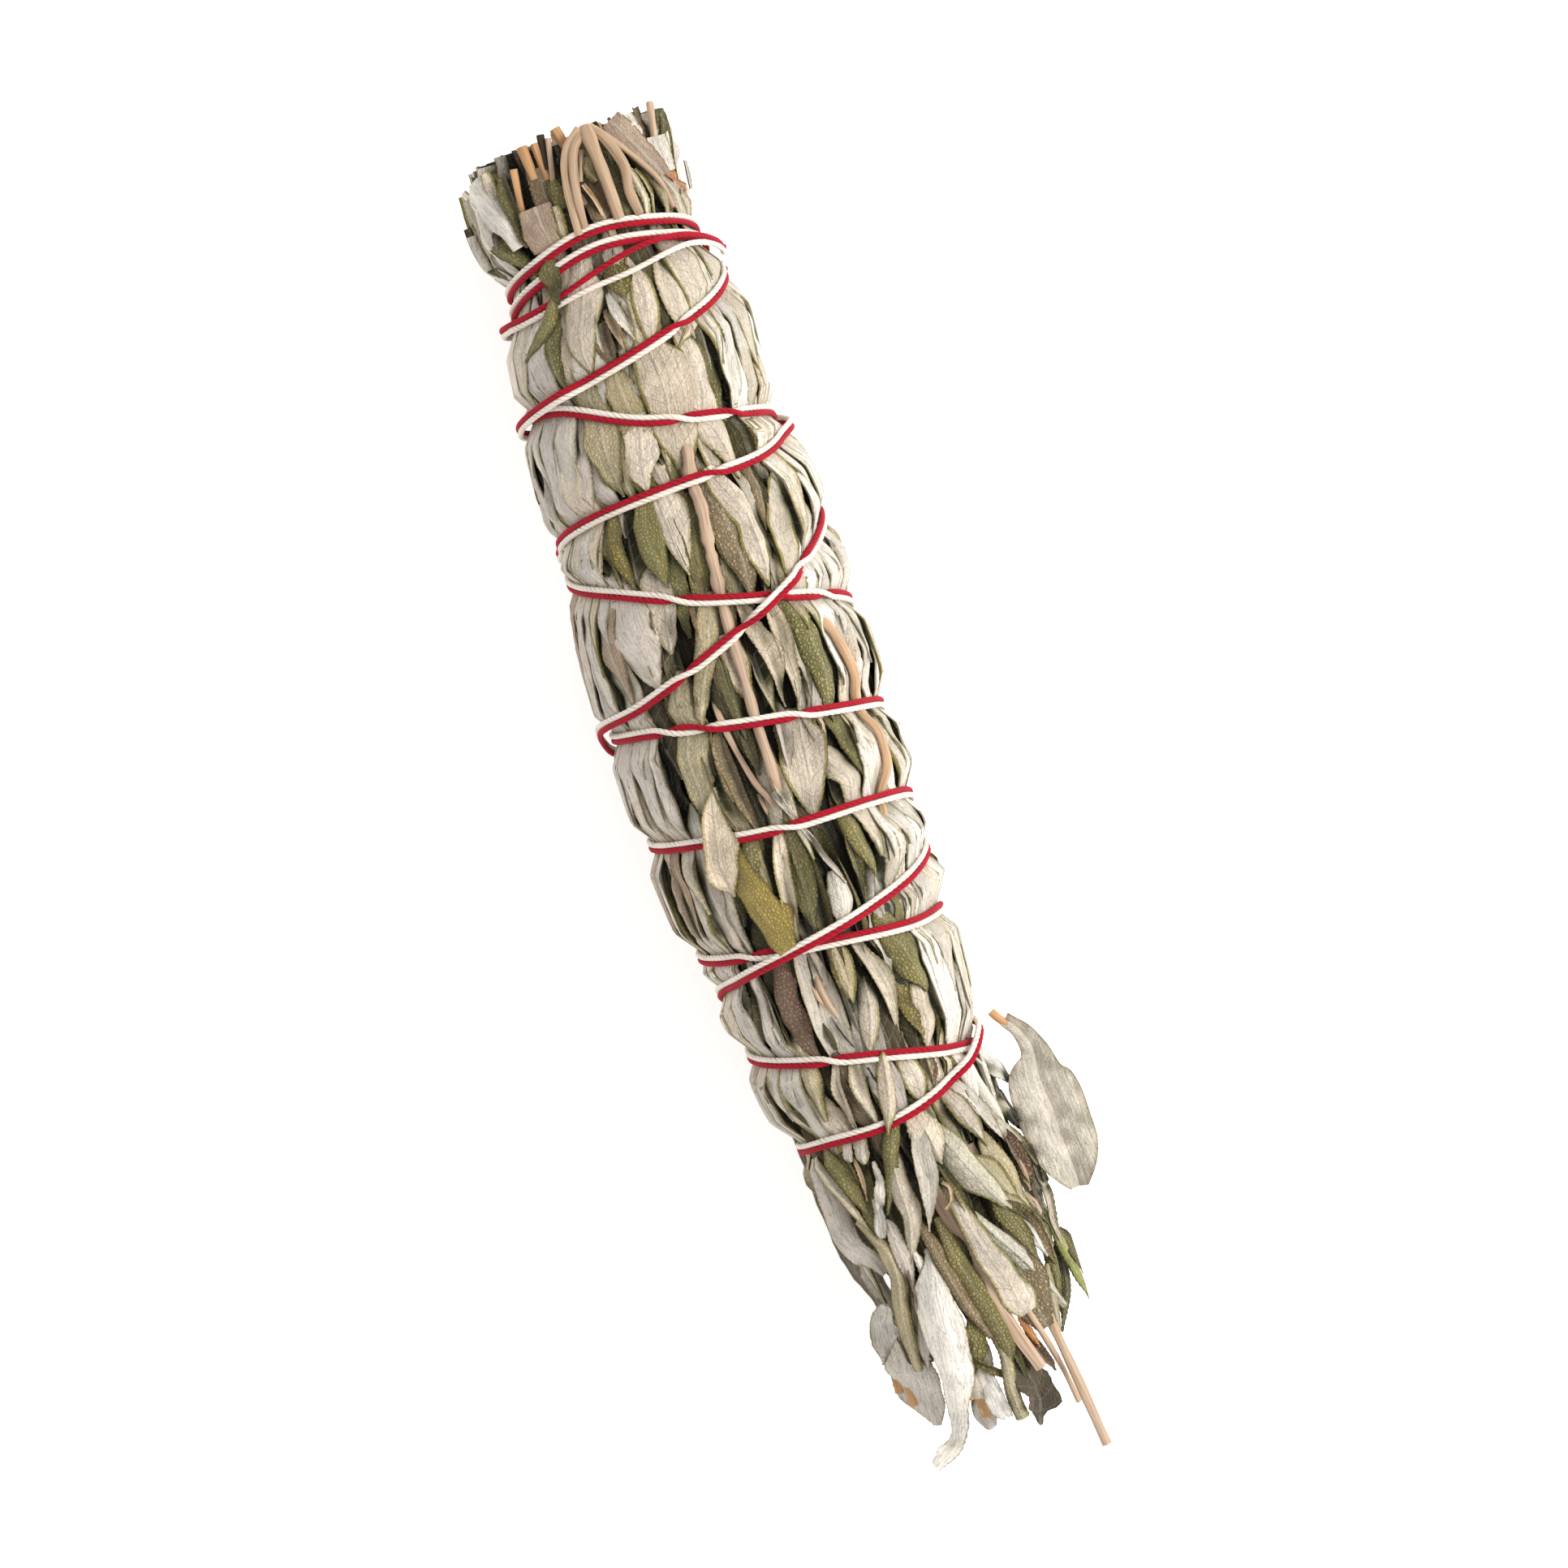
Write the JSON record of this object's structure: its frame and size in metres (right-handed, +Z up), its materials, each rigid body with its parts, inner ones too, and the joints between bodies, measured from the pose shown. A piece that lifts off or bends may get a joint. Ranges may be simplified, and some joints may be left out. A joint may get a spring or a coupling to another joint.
{
  "type": "sage smudge stick",
  "caption": "Long round bundle of dried sage sprigs, laid with their cut stalks together and bound criss-cross with a red and a white cotton strand.",
  "frame": {"origin": "middle of the underside of the whole bundle's box, on the surface that it lies on", "axes": "+X along the bundle from the cut stalks to the leaf tips, +Z up, +Y to the left of that"},
  "size_m": [0.229, 0.055, 0.044],
  "materials": {
    "sage_leaf": "dried leaves, pale grey-green and greige, felted and matt, some olive and pebbled",
    "sage_stalk": "dry tan stalk, matt, with fine ridges along it",
    "red_cotton": "twisted crimson cotton strand, matt",
    "white_cotton": "twisted cream cotton strand, matt"
  },
  "bodies": {
    "root": {"sprig_1": "sage_leaf", "sprig_2": "sage_leaf", "sprig_3": "sage_leaf", "sprig_4": "sage_leaf", "sprig_5": "sage_leaf", "sprig_6": "sage_leaf", "sprig_7": "sage_leaf", "sprig_8": "sage_leaf", "stalk_1": "sage_stalk", "stalk_2": "sage_stalk", "stalk_3": "sage_stalk", "stalk_4": "sage_stalk", "stalk_5": "sage_stalk", "stalk_6": "sage_stalk", "stalk_7": "sage_stalk", "stalk_8": "sage_stalk", "forked_stalk": "sage_stalk", "tip_stalk_1": "sage_stalk", "tip_stalk_2": "sage_stalk", "twine_red": "red_cotton", "twine_white": "white_cotton"}
  },
  "joints": []
}
